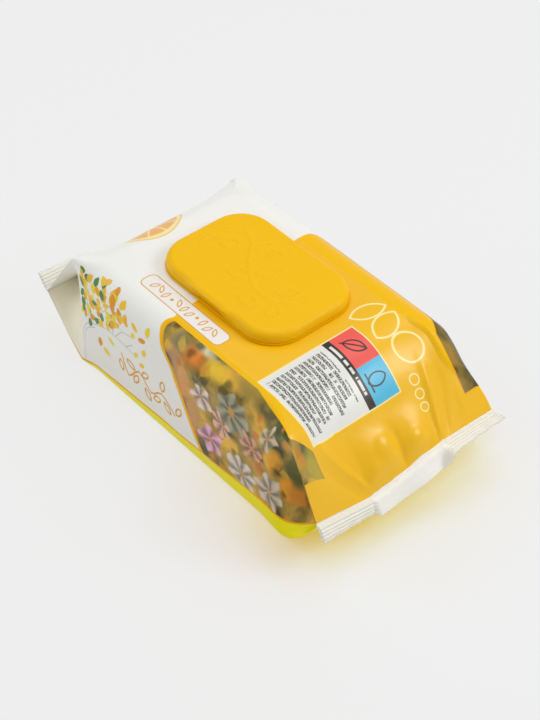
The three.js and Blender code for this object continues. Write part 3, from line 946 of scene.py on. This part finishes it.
# Lid: fine skin of the cover, with the soft edge, the lift lip and raised ornament

def cover_outline(count):
    """Points of the cover's outline with outward normals: a rectangle with round corners."""
    points = []
    r = LID_CORNER
    half_l, half_w = LID_LENGTH / 2 - r, LID_WIDTH / 2 - r
    corners = [(half_l, half_w, 0), (-half_l, half_w, 90), (-half_l, -half_w, 180), (half_l, -half_w, 270)]
    straight = [2 * half_l, 2 * half_w] * 2
    arc = pi / 2 * r
    total = sum(straight) + 4 * arc
    for i in range(count):
        d = i / count * total
        for (cx, cy, start), side in zip(corners, straight):
            turn = radians(start) + min(d, arc) / r
            nx, ny = cos(turn), sin(turn)
            past = max(d - arc, 0)
            if past < side:
                points.append((cx + r * nx - ny * past, cy + r * ny + nx * past, nx, ny))
                break
            d -= arc + side
    return points


def ornament_strokes():
    """Raised sprig over the middle of the cover: a long S stem with leaf outlines and two rings."""
    stem = curve_points([(-33, 8), (-26, 14), (-16, 10), (-6, 0), (6, -8), (17, -10), (29, -5), (33, 2)], 6)
    lines = [stem]
    leaf_places = [
        (-24, 3, 30), (-12, 13, 70), (-3, -8, 20), (5, 3, 60), (14, -17, 10), (22, 0, 50), (-31, -3, 80)]
    for cx, cy, angle in leaf_places:
        c, k = cos(radians(angle)), sin(radians(angle))
        for side in (-1, 1):
            rim = [(12 * (i / 8 - 0.5), side * 3.2 * sin(pi * i / 8)) for i in range(9)]
            lines.append([(cx + a * c - b * k, cy + a * k + b * c) for a, b in rim])
    for cx, cy, r in [(-2, 13, 3.2), (28, -14, 3.0)]:
        turns = [i * pi / 8 for i in range(17)]
        lines.append([(cx + r * cos(turn), cy + r * sin(turn)) for turn in turns])
    return np.array([stroke for line in lines for stroke in zip(line, line[1:])])


def ornament_height(xy):
    """Height of the raised lines at each point."""
    best = np.full(len(xy), 1e9)
    for (ax, ay), (bx, by) in ornament_strokes():
        d = np.array([bx - ax, by - ay])
        f = np.clip(((xy - (ax, ay)) @ d) / (d @ d), 0, 1)
        best = np.minimum(best, np.hypot(*(xy - (ax, ay) - f[:, None] * d).T))
    return ORNAMENT_HEIGHT * np.exp(-(best / ORNAMENT_HALF) ** 2)


def quads(a, b, count):
    """Faces between two rows of points that start at a and b."""
    return [(a + i, b + i, b + i + 1, a + i + 1) for i in range(count - 1)]


def cover_mesh():
    """Skin just over the cover: wall, rounded edge with the lift lip in front, and a slightly domed top."""
    outline = cover_outline(420)
    wall = [(0.0, z) for z in np.linspace(LID_BOTTOM, LID_TOP - LID_EDGE, 6)]
    arc = [(LID_EDGE * (1 - cos(a)), LID_TOP - LID_EDGE + LID_EDGE * sin(a))
           for a in np.linspace(0, pi / 2, 13)[1:]]
    edge = wall + [wall[-1]] * 2 + arc
    lip_under = LID_TOP - LIP_UNDER
    lip = [(LIP_DIMPLE, z) for z in np.linspace(LID_BOTTOM, lip_under, len(wall))]
    lip += [(-LIP_REACH, lip_under), (-LIP_REACH, LID_TOP - LIP_CREST)]
    for i in range(len(arc)):
        f = (i + 1) / len(arc)
        lip.append((lerp(-LIP_REACH, LID_EDGE, f ** 1.4), LID_TOP - LIP_CREST * (1 - f) ** 2.4))
    points, faces = [], []
    for x, y, nx, ny in outline:
        front = smooth(-ny, 0.9, 0.99)
        reach = front * (1 - smooth(abs(x), LIP_HALF - 4, LIP_HALF + 4))
        dimple = front * (1 - smooth(abs(x), LIP_HALF - 9, LIP_HALF - 1.6))
        for i, ((inset_a, z_a), (inset_b, z_b)) in enumerate(zip(edge, lip)):
            inset = lerp(inset_a, inset_b, dimple if i < len(wall) else reach) - SKIN_OUT
            points.append((x - nx * inset, y - ny * inset, lerp(z_a, z_b, reach)))
    rows = len(edge)
    inner = 66
    count = len(outline)
    core = (LID_LENGTH - LID_WIDTH) / 2
    for k in range(count):
        x0, y0, _ = points[k * rows + rows - 1]
        for i in range(1, inner + 1):
            f = i / inner
            lift = LID_DOME * sin(f * pi / 2)
            points.append((lerp(x0, clamp(x0, -core, core), f), lerp(y0, 0, f), LID_TOP + lift))
    base = count * rows
    for k in range(count):
        n = (k + 1) % count
        ring, next_ring = k * rows, n * rows
        disc, next_disc = base + k * inner, base + n * inner
        faces += quads(ring, next_ring, rows)
        faces.append((ring + rows - 1, next_ring + rows - 1, next_disc, disc))
        faces += quads(disc, next_disc, inner)
    place = np.array(points)
    place[base:, 2] += ornament_height(place[base:, :2])
    place += (LID_X, LID_Y, SKIN_UP)
    mesh = make_mesh("lid_cover_skin", place.tolist(), faces)
    mesh.validate()
    return mesh


def moulded(name, colour, roughness):
    """Satin polypropylene with faint moulding flow."""
    material, shader = plastic(name, colour, roughness)
    net = Net(material.node_tree)
    flow = net.node("ShaderNodeTexNoise")
    dial(flow, {"Scale": 60, "Detail": 4})
    net.tree.links.new(net.node("ShaderNodeTexCoord").outputs["Object"], flow.inputs["Vector"])
    tone = Val(net, flow.outputs[0])
    deep = (colour[0] * 0.9, colour[1] * 0.88, colour[2] * 0.8, 1)
    net.feed(shader.inputs["Base Color"], net.mix(tone * 0.3, colour, deep))
    net.feed(shader.inputs["Roughness"], tone * 0.1 + (roughness - 0.05))
    dial(shader, {"Specular IOR Level": 0.18, "Subsurface Weight": 0.05})
    dial(shader, {"Subsurface Radius": (0.004, 0.002, 0.0006)})
    return material


def dress(node, look):
    """Gives a piece of the frame its material."""
    node.data.materials.clear()
    node.data.materials.append(look)


def hinge_strap(look):
    """The living hinge: a thin web from the upstand of the frame to the back wall of the cover."""
    back = LID_Y + LID_WIDTH / 2
    line = [(back + 0.62, 67.9), (back + 0.62, 68.6), (back + 0.56, 69.0), (back + 0.45, 69.35),
            (back + 0.3, 69.7), (back + 0.18, 70.1), (back + 0.1, 70.6), (back + 0.08, 71.1)]
    ring = [(y + HINGE_HALF_WEB, z) for y, z in line] + [(y - HINGE_HALF_WEB, z) for y, z in reversed(line)]
    steps = 20
    stations = np.linspace(LID_X - HINGE_HALF_LENGTH, LID_X + HINGE_HALF_LENGTH, steps + 1)
    places = [(x, y, z) for x in stations for y, z in ring]
    count = len(ring)
    faces = [tuple(reversed(range(count))), tuple(range(steps * count, (steps + 1) * count))]
    for i in range(steps):
        for j in range(count):
            k = (j + 1) % count
            faces.append((i * count + j, i * count + k, (i + 1) * count + k, (i + 1) * count + j))
    mesh = make_mesh("hinge_strap", places, faces, soft=False)
    mesh.materials.append(look)
    strap = bpy.data.objects.new("hinge_strap", mesh)
    bpy.context.scene.collection.objects.link(strap)
    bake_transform(strap)


film = add_object("film_wrap", film_mesh(), "pack")
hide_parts("film_pack")
for look in (
        film_material("film_top", 0.5, citrus, pill, info_panel, outlines),
        film_material("film_near", 0.16, leaves, vine),
        film_material("film_far", 0.16),
        film_material("film_base", 0.16),
        fin_material()):
    film.data.materials.append(look)

skin = add_object("lid_cover_skin", cover_mesh(), "cover")
cover_look = moulded("lid_cover_look", srgb(248, 193, 0), 0.4)
skin.data.materials.append(cover_look)
dress(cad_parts["lid_frame"], moulded("lid_frame_look", srgb(248, 190, 0), 0.42))
dress(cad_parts["lid_cover"], cover_look)
dress(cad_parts["seal_label"], moulded("label_look", srgb(240, 238, 230), 0.35))
hinge_strap(cover_look)


# Studio, in metres

def studio():
    bpy.ops.mesh.primitive_plane_add(size=6)
    floor = bpy.context.object
    floor.name = "floor"
    floor.data.materials.append(floor_material())
    world = bpy.data.worlds.new("studio")
    bpy.context.scene.world = world
    world.use_nodes = True
    dial(world.node_tree.nodes["Background"], {"Color": (1, 1, 1, 1), "Strength": 0.48})
    softbox("key", (-0.1, 0.2, 1.1), 0.9, 3.9)
    softbox("side", (0.66, 0.64, 0.735), 0.4, 3.9)
    softbox("fill", (-0.8, -0.65, 0.5), 0.8, 2.4)


def softbox(name, place, size, energy):
    """A square lamp turned to the middle of the pack."""
    light = bpy.data.lights.new(name, "AREA")
    light.size = size
    light.energy = energy
    lamp = bpy.data.objects.new(name, light)
    lamp.location = place
    lamp.rotation_euler = (Vector((0, 0, 0.05)) - lamp.location).to_track_quat("-Z", "Y").to_euler()
    bpy.context.scene.collection.objects.link(lamp)


def floor_material():
    """Pale floor: seen directly or in a reflection it is nearly white, with the shadow kept soft, and painted
    warm light and shade near the yellow end.
    """
    material = bpy.data.materials.new("floor_look")
    material.use_nodes = True
    tree = material.node_tree
    tree.nodes.clear()
    net = Net(tree)
    x, y, _ = net.parts(net.node("ShaderNodeNewGeometry").outputs["Position"])
    # Painted light on the floor: a warm tint of the shadow, standing in for yellow light thrown through the
    # yellow end, and a painted golden shadow on the strip under that end
    warm = net.inside(net.length(x - 0.125, y + 0.01) - 0.085, 0.06)
    under = net.inside(x - 0.093, 0.01) * net.inside(0.07 - x, 0.02) * net.inside(y.abs() - 0.05, 0.025)
    glow = net.node("ShaderNodeEmission")
    pale = net.mix(warm, (0.742, 0.735, 0.727, 1), (0.60, 0.35, 0.0, 1))
    net.feed(glow.inputs["Color"], net.mix(under, pale, (0.48, 0.28, 0.0, 1)))
    lit = net.node("ShaderNodeBsdfDiffuse")
    soft = net.mix(warm, (0.125, 0.132, 0.14, 1), (0.282, 0.54, 0.915, 1))
    net.feed(lit.inputs["Color"], net.mix(under, soft, (0.27, 0.27, 0.18, 1)))
    seen = net.node("ShaderNodeAddShader")
    tree.links.new(glow.outputs[0], seen.inputs[0])
    tree.links.new(lit.outputs[0], seen.inputs[1])
    bounce = net.node("ShaderNodeBsdfDiffuse")
    dial(bounce, {"Color": (0.86, 0.85, 0.82, 1)})
    path = net.node("ShaderNodeLightPath").outputs
    straight = Val(net, path["Is Camera Ray"]).most(Val(net, path["Is Glossy Ray"]))
    chosen = net.node("ShaderNodeMixShader")
    net.feed(chosen.inputs[0], straight.most(Val(net, path["Is Transmission Ray"])))
    tree.links.new(bounce.outputs[0], chosen.inputs[1])
    tree.links.new(seen.outputs[0], chosen.inputs[2])
    tree.links.new(chosen.outputs[0], net.node("ShaderNodeOutputMaterial").inputs[0])
    return material


def camera():
    """The photograph's camera: a direction and distance from the middle of the base, and a small shift."""
    azimuth, elevation = radians(CAMERA_AZIMUTH), radians(CAMERA_ELEVATION)
    back = Vector((sin(azimuth) * cos(elevation), -cos(azimuth) * cos(elevation),
                   sin(elevation)))
    right = Vector((cos(azimuth), sin(azimuth), 0))
    up = back.cross(right)
    data = bpy.data.cameras.new("camera")
    data.lens = FOCAL_PIXELS / PICTURE_PIXELS * data.sensor_width
    obj = bpy.data.objects.new("camera", data)
    place = right * CAMERA_RIGHT + up * CAMERA_UP + back * CAMERA_DISTANCE
    turn = Matrix((right, up, back)).transposed()
    obj.matrix_world = Matrix.Translation(place) @ turn.to_4x4()
    bpy.context.scene.collection.objects.link(obj)
    bpy.context.scene.camera = obj


studio()
camera()
bpy.context.scene.view_settings.view_transform = "Standard"
